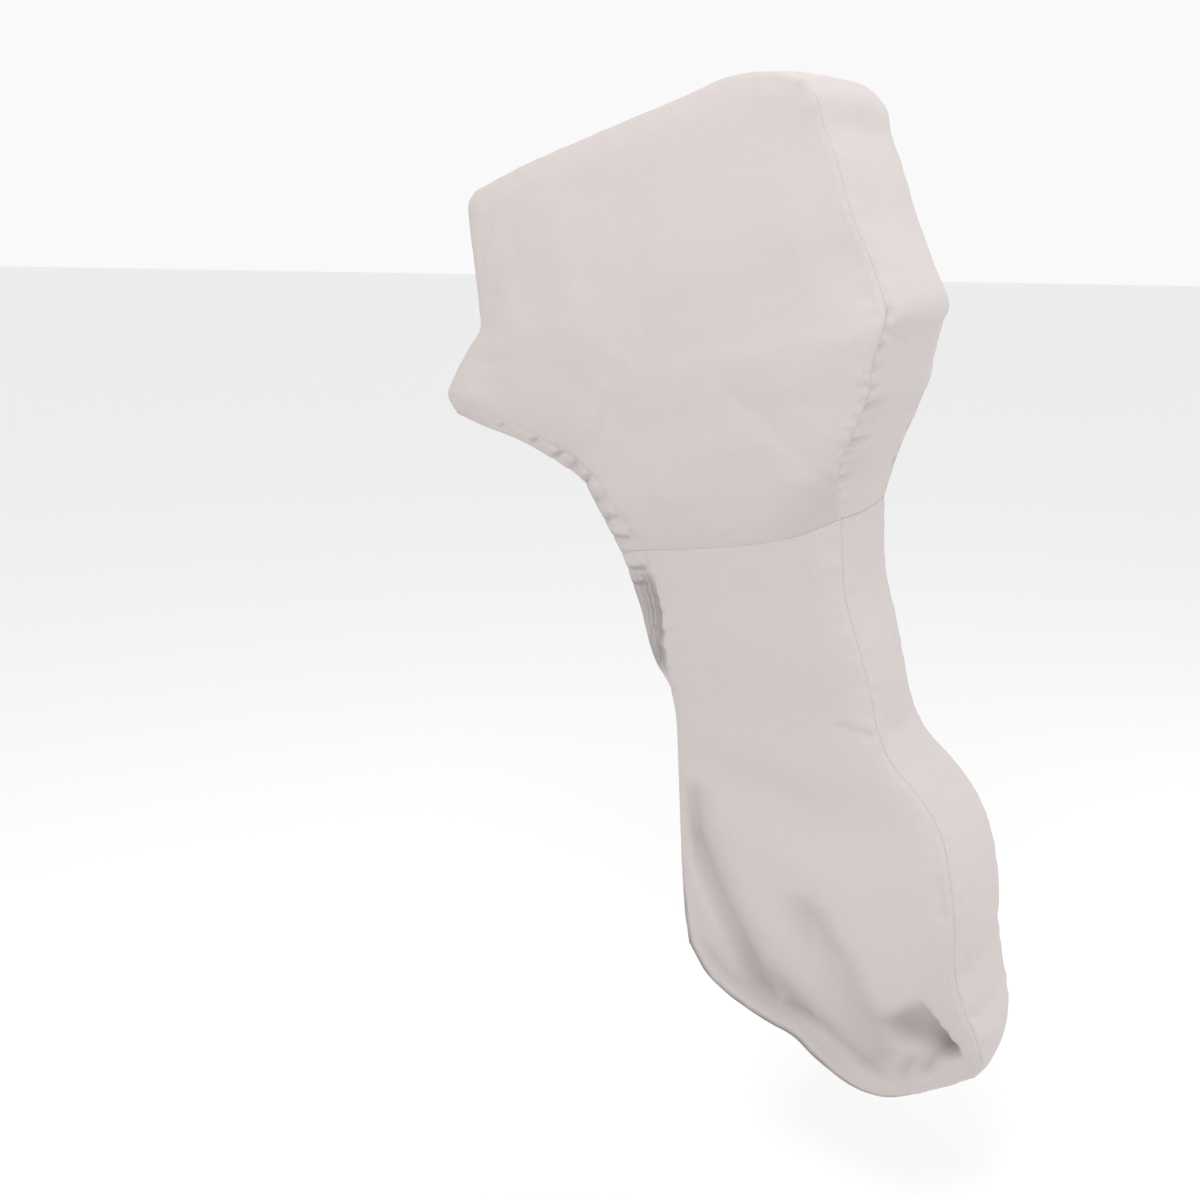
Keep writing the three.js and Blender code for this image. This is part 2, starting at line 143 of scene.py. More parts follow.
hem = {
    "cell": 0.0024, "fineReach": 0.045,  # mesh cell along the hem
    "channel": 0.027,  # width on the gussets
    # width on the sides, by the distance along the opening from the front
    "width": [
        (0, 0.022), (0.16, 0.022), (0.22, 0.026), (0.275, 0.034), (0.31, 0.041), (0.355, 0.046),
        (0.41, 0.048), (0.45, 0.045), (0.49, 0.039), (0.535, 0.030), (0.60, 0.010),
    ],
    "puff": 0.002, "groove": 0.0016, "grooveSpread": 0.0026,
    "flare": 0.6, "flareEase": 0.05,  # share of the rounding that the hood's hem leaves out
    "turnedIn": 0.018, "turnWidth": 0.009,  # how far the leg's hem steps in behind its fold
    "turnedForward": 0.45,  # share of that by which it also comes forward
    "turnedFrom": 0.02, "turnedEase": 0.05,  # where it starts along the leg, and how it sets in
    "turnedReach": 0.06,  # farthest from the hem's edge that it reaches
    "foldReach": 0.018, "foldEase": 0.015,  # flat strip beside the fold
    # how strongly the stitches draw the cloth together: weakest at the front
    "drawnLeast": 0.25, "drawnFrom": 0.10, "drawnEase": 0.12,
    "gatherPlace": 0.75, "gatherSpread": 0.5,  # gathers on the sides, as shares of the width
    "gatherReach": 0.016, "gatherEase": 0.006,  # gathers on the gussets
    # puckers stay inside the stitches, each with a ridge so many spreads above it
    "puckerSharpness": 1.4, "puckerEase": 0.006, "ridgeShare": 0.4, "ridgeAbove": 2.4,
}

# Part of the hood's rear seam where the sides are gathered: heights, and how far back it starts
rearSeam = {"top": -0.38, "bottom": -0.64, "ease": 0.06, "behind": 0.1}

# Waves in the cloth: height, length, how far they lean over, how many of them cross, and what is
# added to the seed
waveKinds = {
    "side broad": (0.0005, 0.22, 1, 9, 0),
    "side small": (0.00014, 0.05, 1, 9, 1),
    "side hem": (0.0013, 0.019, 0.25, 6, 2),
    "side seam": (0.0006, 0.030, 0.3, 6, 3),
    "side waist": (0.0003, 0.034, 0.3, 6, 4),
    "side rear": (0.0011, 0.014, 0.2, 5, 6),
    "gusset broad": (0.0010, 0.18, 1, 9, 0),
    "gusset small": (0.0002, 0.05, 1, 9, 1),
    "gusset seam": (0.0007, 0.028, 0.3, 6, 3),
    "gusset hem": (0.0012, 0.018, 0.25, 6, 4),
    "gusset fold": (0.006, 0.2, 0, 4, 5),
}

# How far the waves along a seam reach in from it
pullReach = {"seam": 0.026, "waist": 0.020, "rearSeam": 0.011}

# Steps along curves, and small numbers that keep divisions away from zero
steps = {"knot": 41, "outline": 121, "length": 60, "foldRow": 5}
guards = {"length": 1e-12, "side": 1e-9}


def smooth(t):
    t = np.clip(t, 0, 1)
    return t * t * (3 - 2 * t)


def bell(distance, spread, sharpness=2):
    return np.exp(-(distance / spread) ** sharpness)


def fromTable(rows, place):
    # value at a place in a short table, eased from row to row
    places, values = (np.array(column, float) for column in zip(*rows))
    low = np.clip(np.searchsorted(places, place, side="right") - 1, 0, len(rows) - 2)
    share = (np.clip(place, places[0], places[-1]) - places[low]) / (places[low + 1] - places[low])
    return values[low] + (values[low + 1] - values[low]) * smooth(share)


def seamCurve(rows):
    # smooth curve through the rows, evenly spaced along its length
    knots = np.array(rows, float)
    knots = np.vstack((2 * knots[0] - knots[1], knots, 2 * knots[-1] - knots[-2]))
    gaps = np.sqrt(np.linalg.norm(np.diff(knots, axis=0), axis=1))
    t = np.linspace(0, 1, steps["knot"])[:, None]
    stretches = []
    for i in range(len(knots) - 3):
        before, start, end, after = knots[i:i + 4]
        gapBefore, gap, gapAfter = gaps[i:i + 3]
        step = (end - start) / gap
        leave = (start - before) / gapBefore - (end - before) / (gapBefore + gap) + step
        arrive = step - (after - start) / (gap + gapAfter) + (after - end) / gapAfter
        bend = (t ** 3 - 2 * t ** 2 + t) * leave * gap + (t ** 3 - t ** 2) * arrive * gap
        stretches.append(start + (end - start) * smooth(t) + bend)
    points = np.vstack(stretches)
    run = np.concatenate(([0], np.cumsum(np.linalg.norm(np.diff(points, axis=0), axis=1))))

    def at(share):
        distance = np.asarray(share, float) * run[-1]
        return np.stack([np.interp(distance, run, column) for column in points.T], axis=-1)

    return at


edges = {name: seamCurve(rows) for name, rows in pattern.items()}


def joined(first, second, at):
    # two stretches run one after the other, the first up to the share "at"
    def run(share):
        share = np.asarray(share, float)
        return np.where((share <= at)[..., None], first(share / at), second((share - at) / (1 - at)))
    return run


def flatPath(name):
    points = edges[name](np.linspace(0, 1, steps["outline"]))
    return points[:, [0, 2]]


def pathLength(points):
    return np.linalg.norm(np.diff(points, axis=0), axis=1).sum()


sewnNames = ("hoodFront", "roof", "hoodRear", "legRear", "sole", "legFront")
sewnPaths = [flatPath(name) for name in sewnNames]
hemPaths = [flatPath(name) for name in ("hoodHem", "legHem")]
legHemStart, legHemEnd = np.cumsum([pathLength(path) for path in hemPaths])


def nearestOnPath(x, z, path):
    # distance to a path, how far along it the nearest point lies, the path's length, and the side
    # of the way: 1 on its left, 0 on its right
    best = np.full(x.shape, np.inf)
    along = np.zeros(x.shape)
    side = np.zeros(x.shape)
    run = 0
    for start, end in zip(path, path[1:]):
        step = end - start
        length = math.hypot(*step)
        share = np.clip(((x - start[0]) * step[0] + (z - start[1]) * step[1]) / length ** 2, 0, 1)
        right, up = x - start[0] - share * step[0], z - start[1] - share * step[1]
        distance = np.hypot(right, up)
        closer = distance < best
        best = np.where(closer, distance, best)
        along = np.where(closer, run + share * length, along)
        turn = (step[0] * up - step[1] * right) / (length * distance + guards["side"])
        side = np.where(closer, 0.5 + 0.5 * turn, side)
        run += length
    return best, along, run, side


def nearestOf(x, z, paths):
    # distance to the nearest of several paths, and how far along them it lies, end to end
    best = np.full(x.shape, np.inf)
    along = np.zeros(x.shape)
    run = 0
    for path in paths:
        distance, place, length, side = nearestOnPath(x, z, path)
        along = np.where(distance < best, run + place, along)
        best = np.minimum(best, distance)
        run += length
    return best, along


def ripples(x, z, length, seed, count):
    # soft uneven field of crossing waves about this long, between -1 and 1 or so
    dice = np.random.default_rng(seed)
    field = np.zeros(np.shape(x))
    for i in range(count):
        angle, phase = dice.uniform(0, 2 * math.pi, 2)
        turns = 2 * math.pi / (length * dice.uniform(0.7, 1.5))
        field += np.sin(turns * (x * math.cos(angle) + z * math.sin(angle)) + phase)
    return field / math.sqrt(count)


def waves(kind, along, away, seed, share=1):
    # height of one kind of waves, by the way along an edge and the distance away from it
    height, length, lean, count, added = waveKinds[kind]
    return height * share * ripples(along, lean * away, length, seed + added, count)


def shares(length, hemShare=0, fineStart=False, fineEnd=False):
    # places of the mesh lines along a stretch: closer together beside a seam, along a hem and
    # across it
    narrow = np.array(cloth["edgeCells"]) / length
    across = np.arange(cloth["edgeCells"][-1] + hem["cell"], hem["fineReach"], hem["cell"]) / length
    start = np.concatenate((narrow, across)) if fineStart else narrow
    end = 1 - (np.concatenate((narrow, across)) if fineEnd else narrow)[::-1]
    if hemShare:
        count = int((hemShare - start[-1]) * length / hem["cell"])
        start = np.concatenate((start, np.linspace(start[-1], hemShare, count + 1)[1:]))
    count = int((end[0] - start[-1]) * length / cloth["cell"])
    return np.concatenate((start, np.linspace(start[-1], end[0], count + 1)[1:-1], end))


def coons(sides, across, down):
    # four-sided sheet blended between its edge curves, a row for each "down"
    u, v = np.meshgrid(across, down)
    u, v = u[..., None], v[..., None]
    top, bottom = sides["top"](across)[None], sides["bottom"](across)[None]
    left, right = sides["left"](down)[:, None], sides["right"](down)[:, None]
    corners = (
        sides["top"](0) * (1 - u) * (1 - v) + sides["top"](1) * u * (1 - v)
        + sides["bottom"](0) * (1 - u) * v + sides["bottom"](1) * u * v
    )
    return top * (1 - v) + bottom * v + left * (1 - u) + right * u - corners


def gridNormals(points, outward):
    # normals of a grid of points, turned to the side that outward gives
    down = np.gradient(points, axis=0)
    across = np.gradient(points, axis=1)
    normals = np.cross(across, down)
    normals /= np.linalg.norm(normals, axis=-1, keepdims=True) + guards["length"]
    facing = np.sign(np.sum(normals * outward, axis=-1, keepdims=True))
    return normals * facing


# Folds: name, depth (a ridge where below 0), spread to the left and to the right of the way the
# path runs, sharpness, path of back and height
mainFolds = [
    ("toe valley", 0.028, 0.034, 0.020, 1.4,
     [(-0.108, -1.100), (-0.096, -1.130), (-0.078, -1.190), (-0.030, -1.275), (0.004, -1.335),
      (0.018, -1.374), (0.034, -1.425), (0.060, -1.462)]),
    ("toe flap", -0.004, 0.016, 0.026, 2,
     [(-0.096, -1.225), (-0.052, -1.310), (-0.010, -1.392), (0.006, -1.430)]),
    ("foot hollow", 0.015, 0.034, 0.028, 2, [(0.036, -1.385), (0.085, -1.425), (0.134, -1.458)]),
    ("foot valley", 0.021, 0.028, 0.045, 1.7,
     [(0.083, -1.256), (0.126, -1.274), (0.158, -1.312), (0.186, -1.344), (0.204, -1.382),
      (0.227, -1.430), (0.246, -1.490)]),
    ("sole fold", 0.020, 0.032, 0.014, 1.4,
     [(0.064, -1.460), (0.104, -1.460), (0.144, -1.472), (0.184, -1.504), (0.216, -1.532),
      (0.242, -1.550)]),
    ("heel hollow", 0.019, 0.036, 0.034, 2, [(0.214, -1.470), (0.244, -1.504), (0.266, -1.535)]),
    ("heel dent foot", 0.018, 0.012, 0.016, 1.4, [(0.356, -1.462), (0.326, -1.496), (0.300, -1.536)]),
    ("heel inner fold", 0.013, 0.012, 0.010, 1.4,
     [(0.296, -1.488), (0.284, -1.515), (0.270, -1.545)]),
    ("roll under the toe", 0.018, 0.055, 0.030, 1.4,
     [(-0.090, -1.360), (-0.030, -1.425), (0.050, -1.480), (0.120, -1.535), (0.190, -1.576)]),
    ("waist crease", 0.0045, 0.036, 0.016, 1.4,
     [(-0.010, -0.453), (0.048, -0.498), (0.109, -0.551), (0.150, -0.590)]),
    ("roof roll", -0.006, 0.045, 0.090, 2,
     [(-0.420, -0.200), (-0.305, -0.172), (-0.220, -0.147), (-0.124, -0.118), (-0.055, -0.090),
      (0.030, -0.060)]),
    ("hem ridge", -0.005, 0.014, 0.014, 2, [(-0.203, -0.448), (-0.226, -0.505), (-0.246, -0.552)]),
    ("front streak", -0.004, 0.012, 0.012, 2, [(-0.312, -0.172), (-0.355, -0.250), (-0.398, -0.330)]),
    ("lip bulge", -0.013, 0.032, 0.034, 2, [(-0.462, -0.480), (-0.425, -0.502)]),
]

# Pocket pressed in under the heel: a steep edge to the rear, a brow above, and soft walls down to
# its deepest line, the floor
heelPocket = {
    "depth": 0.038,
    "edge": [(0.307, -1.362), (0.369, -1.476)], "edgeWidth": 0.011,
    "brow": [(0.250, -1.402), (0.307, -1.362)], "browWidth": 0.032,
    "floor": [(0.292, -1.440), (0.316, -1.446), (0.346, -1.458)],
    "above": 0.056, "below": 0.030,
}

# Finer creases on top of the main folds, in rows of the same kind
fineFolds = [
    ("second front streak", -0.0020, 0.008, 0.008, 2,
     [(-0.425, -0.185), (-0.437, -0.245), (-0.434, -0.300)]),
    ("front corner streak", -0.0016, 0.007, 0.007, 2,
     [(-0.372, -0.150), (-0.400, -0.215), (-0.420, -0.290)]),
    ("roof crease", 0.0012, 0.010, 0.010, 1.4,
     [(-0.136, -0.119), (-0.144, -0.195), (-0.149, -0.271)]),
    ("hem dip", 0.0020, 0.012, 0.012, 1.4, [(-0.144, -0.612), (-0.138, -0.634), (-0.132, -0.660)]),
    ("lip crease", 0.0020, 0.010, 0.010, 1.4, [(-0.462, -0.420), (-0.425, -0.432), (-0.385, -0.428)]),
    ("rear leg crease", 0.0034, 0.005, 0.010, 1.4,
     [(0.150, -0.968), (0.180, -0.978), (0.216, -0.990)]),
    ("rear seam dimple", 0.0050, 0.012, 0.012, 1.4, [(0.188, -0.316), (0.205, -0.326)]),
    ("heel seam crease", 0.0040, 0.008, 0.008, 1.4,
     [(0.322, -1.176), (0.330, -1.215), (0.336, -1.252)]),
    ("toe crease", 0.0012, 0.014, 0.012, 1.4, [(-0.040, -1.190), (-0.005, -1.262), (0.028, -1.330)]),
]

# Puckers of the hem: depth, spread, from the hem's edge inwards
hemPuckers = [
    (0.0026, 0.0038, [(-0.402, -0.538), (-0.386, -0.524)]),
    (0.0042, 0.0034, [(-0.346, -0.559), (-0.316, -0.535)]),
    (0.0049, 0.0034, [(-0.312, -0.583), (-0.276, -0.558)]),
    (0.0029, 0.0032, [(-0.286, -0.598), (-0.264, -0.582)]),
    (0.0055, 0.0034, [(-0.262, -0.620), (-0.233, -0.594)]),
    (0.0039, 0.0032, [(-0.246, -0.646), (-0.208, -0.634)]),
    (0.0052, 0.0034, [(-0.232, -0.676), (-0.190, -0.662)]),
    (0.0052, 0.0034, [(-0.218, -0.701), (-0.180, -0.699)]),
    (0.0034, 0.0032, [(-0.207, -0.728), (-0.184, -0.724)]),
    (0.0057, 0.0034, [(-0.197, -0.755), (-0.157, -0.750)]),
    (0.0047, 0.0032, [(-0.188, -0.783), (-0.160, -0.776)]),
]

# The folds of the starboard side are shallower and lower
sideLooks = {
    "port": {"hand": -1, "foldShare": 1.0, "foldDrop": 0.0, "seed": 11},
    "starboard": {"hand": 1, "foldShare": 0.6, "foldDrop": 0.024, "seed": 23},
}


def foldPath(rows):
    # smooth path through three rows or more, a straight one through two
    if len(rows) < 3:
        return np.array(rows)
    return seamCurve(rows)(np.linspace(0, 1, steps["foldRow"] * len(rows)))


def foldDepth(x, z, folds, look):
    # depth of all the folds together, each fading out at its two ends
    depth = np.zeros(x.shape)
    for name, deep, leftSpread, rightSpread, sharpness, rows in folds:
        distance, along, length, side = nearestOnPath(x, z + look["foldDrop"], foldPath(rows))
        spread = rightSpread + (leftSpread - rightSpread) * smooth(side)
        endSpread = min(leftSpread, rightSpread)
        fade = smooth((np.minimum(along, length - along) + endSpread) / (3 * endSpread))
        depth += look["foldShare"] * deep * fade * bell(distance, spread, sharpness)
    return depth


def belowLine(x, z, line):
    # distance below and in front of a straight line that runs from front to rear
    (startX, startZ), (endX, endZ) = line
    length = math.hypot(endX - startX, endZ - startZ)
    return ((x - startX) * (endZ - startZ) - (z - startZ) * (endX - startX)) / length


def pocketDepth(x, z, look):
    # depth of the pocket, which ends at its edge and its brow
    z = z + look["foldDrop"]
    distance, along, length, side = nearestOnPath(x, z, foldPath(heelPocket["floor"]))
    spread = heelPocket["below"] + (heelPocket["above"] - heelPocket["below"]) * smooth(side)
    depth = look["foldShare"] * heelPocket["depth"] * bell(distance, spread)
    for line, width in (("edge", "edgeWidth"), ("brow", "browWidth")):
        depth *= smooth(belowLine(x, z, heelPocket[line]) / heelPocket[width])
    return depth


def relief(x, z, look, toSewn, toHem, alongHem, toWaist, aboveWaist):
    # rise past the plain sheet, step of the leg's turned-in hem, and depth of the folds
    turns = [np.clip(distance / cloth["turnReach"], 0, 1) for distance in (toSewn, toHem)]
    liftSewn, liftHem = (cloth["turnRise"] * np.sqrt(1 - (1 - turn) ** 2) for turn in turns)
    liftHem += (cloth["turnRise"] - liftHem) * hem["flare"] * smooth(toSewn / hem["flareEase"])
    lift = np.minimum(liftSewn, liftHem)
    turn = np.minimum(*turns)

    # the leg's hem is a flat band that steps in behind a fold
    width = fromTable(hem["width"], alongHem)
    turned = smooth((alongHem - legHemStart - hem["turnedFrom"]) / hem["turnedEase"])
    turned = turned * smooth((legHemEnd - alongHem) / hem["turnedEase"])
    turned = turned * (toHem < hem["turnedReach"]) * (toSewn > toHem)
    stepIn = hem["turnedIn"] * turned * smooth((width - toHem) / hem["turnWidth"])
    flat = smooth((width + hem["foldReach"] - toHem) / hem["foldEase"])
    lift += turned * (cloth["turnRise"] - lift) * flat - stepIn
    puff = hem["puff"] * np.sin(np.pi * np.clip(toHem / width, 0, 1)) * (1 - turned)

    # over the waist seam the cloth spans the hollow, and above it hangs straighter than the pattern
    clear = smooth(toSewn / waist["sewnEase"]) * smooth(toHem / waist["hemEase"])
    span = waist["fill"] * bell(toWaist, waist["fillSpread"]) * clear
    slack = smooth((x - waist["easeFront"]) / waist["frontLength"])
    slack = slack * smooth((waist["easeRear"] - x) / waist["rearLength"]) * aboveWaist
    span -= waist["ease"] * bell(toWaist - waist["easeAbove"], waist["easeSpread"]) * clear * slack
    pressed = foldDepth(x, z, mainFolds, look) + pocketDepth(x, z, look)
    return lift + span + (puff - pressed) * turn, stepIn, pressed * turn


def sidePanel(name, sides, across, down, bulge, look):
    # points of a side panel in rows, with its cloth, seam, hem and fold coordinates
    u, v = np.meshgrid(across, down)
    points = coons(sides, across, down)
    x, z = points[..., 0].copy(), points[..., 2].copy()
    toSewn, alongSewn = nearestOf(x, z, sewnPaths)
    toHem, alongHem = nearestOf(x, z, hemPaths)
    toWaist, alongWaist, waistLength, aboveWaist = nearestOnPath(x, z, flatPath("waist"))
    rise, stepIn, pressed = relief(x, z, look, toSewn, toHem, alongHem, toWaist, aboveWaist)
    points[..., 0] -= hem["turnedForward"] * stepIn
    points[..., 1] = look["hand"] * (points[..., 1] + bulge(u, v) + rise)
    normals = gridNormals(points, np.array((0.0, look["hand"], 0.0)))

    toEdge = np.minimum(toSewn, toHem)
    inside = smooth(toEdge / cloth["edgeEase"])
    seed = look["seed"]
    fine = -foldDepth(x, z, fineFolds, look) * inside
    fine += waves("side broad", x, z, seed) * smooth(toEdge / cloth["broadEase"])
    fine += waves("side small", x, z, seed) * inside

    # stitched groove of the hem, with the cloth gathered and puckered along it
    firm = smooth((alongHem - hem["drawnFrom"]) / hem["drawnEase"])
    drawn = hem["drawnLeast"] + (1 - hem["drawnLeast"]) * firm
    width = fromTable(hem["width"], alongHem)
    fine -= drawn * hem["groove"] * bell(toHem - width, hem["grooveSpread"])
    gatherHere = bell(toHem - hem["gatherPlace"] * width, hem["gatherSpread"] * width)
    fine += waves("side hem", alongHem, toHem, seed, drawn) * gatherHere
    inChannel = smooth((width - toHem) / hem["puckerEase"])
    for depth, spread, path in hemPuckers:
        row = [("pucker", depth, spread, spread, hem["puckerSharpness"], path)]
        fine -= inChannel * foldDepth(x, z, row, look)
        ridge = foldDepth(x, z - hem["ridgeAbove"] * spread, row, look)
        fine += hem["ridgeShare"] * inChannel * ridge

    # seams: the cloth lies higher over the seam allowance, and is drawn in between
    for distance in (toSewn, toWaist):
        fine += cloth["weltHeight"] * bell(distance - 0.5 * cloth["weltReach"], cloth["weltSpread"])
    fine += waves("side seam", alongSewn, toSewn, seed) * bell(toSewn, pullReach["seam"])
    gathered = smooth((rearSeam["top"] - z) / rearSeam["ease"])
    gathered = gathered * smooth((z - rearSeam["bottom"]) / rearSeam["ease"])
    gathered = gathered * (x > rearSeam["behind"])
    fine += waves("side rear", z, x, seed, gathered) * bell(toSewn, pullReach["rearSeam"])
    fine += waves("side waist", alongWaist, toWaist, seed) * bell(toWaist, pullReach["waist"])
    fine *= smooth(toSewn / cloth["seamEase"]) * smooth(toWaist / cloth["seamEase"])

    points += normals * fine[..., None]
    atWaist = toWaist < np.minimum(toSewn, waist["seamReach"])
    alongSeam, toSeam = np.where(atWaist, alongWaist, alongSewn), np.where(atWaist, toWaist, toSewn)
    return {
        "name": name, "points": points, "normals": normals,
        "cloth": np.stack((x, z), axis=-1),
        "seam": np.stack((alongSeam, toSeam), axis=-1),
        "hem": np.stack((alongHem, toHem - width), axis=-1),
        # depth of the folds, which the material turns into painted shade
        "fold": np.stack((pressed, 0 * pressed), axis=-1),
    }


# Hood sides

hoodSide = {
    "width": 0.59, "depth": 0.60,
    "hemEnd": 0.484,  # share of the lower edge that is hem, the rest is waist
    # ridge along the widest line, by the share from front to rear: share down to it, and its rise
    "ridgeHeight": [(0, 0.6), (0.12, 0.56), (0.3, 0.46), (0.6, 0.4), (0.85, 0.42), (1, 0.46)],
    "ridgeRise": [(0, 0), (0.12, 0.016), (0.3, 0.034), (0.6, 0.040), (0.85, 0.030), (1, 0)],
    "ridgeSoftness": 0.12,
    "waistSoftness": 0.16, "roofSoftness": 0.0001,  # how the slope eases out at these edges
}
hoodEdges = {
    "top": edges["roof"],
    "bottom": joined(edges["hoodHem"], edges["waist"], hoodSide["hemEnd"]),
    "left": edges["hoodFront"],
    "right": edges["hoodRear"],
}


def hoodBulge(across, down):
    # rises evenly from the roof and the waist to a soft ridge
    height = fromTable(hoodSide["ridgeHeight"], across)
    rise = fromTable(hoodSide["ridgeRise"], across)
    softness = hoodSide["ridgeSoftness"]
    slope = np.where(down < height, down / height, (1 - down) / (1 - height))
    top = 1 - softness / 2 - (1 - slope) ** 2 / (2 * softness)
    soft = np.where(slope > 1 - softness, top, slope)
    ease = np.where(down > height, hoodSide["waistSoftness"], hoodSide["roofSoftness"])
    soft = np.where(soft < ease, soft ** 2 / (2 * ease), soft - ease / 2)
    return rise * soft / (1 - softness / 2 - ease / 2)


# Leg sides

legSide = {
    "width": 0.32, "depth": 0.90,
    "hemFoot": 0.32,  # share of the front edge that is hem, the rest is sewn
    # bulge between the waist and the sole, and how full it is from front to rear
    "bulge": [(0, 0), (0.18, 0.012), (0.36, 0.012), (0.46, 0.005), (0.6, 0.024), (0.74, 0.034),
              (0.87, 0.022), (1, 0)],
    "bulgePower": 2.6,
}
legEdges = {
    "top": edges["waist"],
    "bottom": edges["sole"],
    "left": joined(edges["legHem"], edges["legFront"], legSide["hemFoot"]),
    "right": edges["legRear"],
}


def legBulge(across, down):
    return fromTable(legSide["bulge"], down) * (1 - np.abs(2 * across - 1) ** legSide["bulgePower"])


# Gussets

gusset = {
    "columns": 0.30,  # mean width that the columns are laid out for
    "crownPower": 3.2,
    "rearCell": 0.0028,  # mesh cell where the rear strip is gathered
    "cornerRound": 0.012,  # length over which the crown turns round a corner
    "rearFrom": 0.09, "rearEase": 0.03,  # how far back the strip counts as its rear part
    "foldEase": 0.03,  # folds across it end this far from its seams
    # gathers on the two sides: hand, share of their depth, how much lower they sit
    "gatherHands": [(-1, 1.0, 0.0), (1, 0.8, 0.011)],
}

# Stretches along each gusset, whether they run backwards, and the seed of its waves
gussetRuns = [
    ("hood_gusset", [("hoodFront", True), ("roof", False), ("hoodRear", False)], 41),
    ("leg_gusset", [("legRear", False), ("sole", True), ("legFront", True)], 57),
]

# Gathers of the hood's rear strip beside its seams: height, depth, spread, reach, lean
rearGathers = [
    (-0.338, 0.0080, 0.0090, 0.018, -0.40), (-0.366, 0.0030, 0.0060, 0.035, -0.20),
    (-0.391, 0.0068, 0.0060, 0.020, 0.10), (-0.424, 0.0030, 0.0046, 0.026, 0.10),
    (-0.450, 0.0054, 0.0050, 0.024, 0.06), (-0.478, 0.0090, 0.0056, 0.050, 0.14),
    (-0.502, 0.0046, 0.0046, 0.022, 0.10), (-0.530, 0.0095, 0.0060, 0.075, 0.04),
    (-0.548, 0.0038, 0.0044, 0.022, 0.10), (-0.566, 0.0044, 0.0050, 0.024, 0.10),
    (-0.586, 0.0062, 0.0056, 0.045, -0.06), (-0.606, 0.0034, 0.0050, 0.022, 0.00),
    (-0.626, 0.0026, 0.0060, 0.026, 0.00),
]

# Folds across the gussets: name, height, depth (a ridge where below 0), spread above and below
crossFolds = [
    ("rear ridge", -0.346, -0.0040, 0.026, 0.012),
    ("under the rear ridge", -0.382, 0.0026, 0.016, 0.022),
    ("middle", -0.505, 0.0040, 0.026, 0.018),
    ("above the waist", -0.592, 0.0045, 0.022, 0.016),
    ("behind the leg", -0.990, 0.0030, 0.018, 0.018),
    ("above the heel", -1.345, 0.0040, 0.022, 0.022),
    ("heel", -1.425, 0.0045, 0.018, 0.018),
]


def outwardAlong(stations):
    # direction in which a strip's crown rises at each station, turned evenly round the corners
    ahead = np.gradient(stations, axis=0)
    outward = np.stack((-ahead[:, 2], np.zeros(len(ahead)), ahead[:, 0]), axis=-1)
    outward /= np.linalg.norm(outward, axis=1, keepdims=True)
    window = int(gusset["cornerRound"] / cloth["cell"])
    kernel = np.hanning(2 * window + 3)[1:-1]
    kernel /= kernel.sum()
    padded = np.pad(outward, ((window, window), (0, 0)), mode="edge")
    outward = np.stack([np.convolve(padded[:, i], kernel, mode="valid") for i in range(3)], axis=-1)
    return outward / np.linalg.norm(outward, axis=1, keepdims=True)


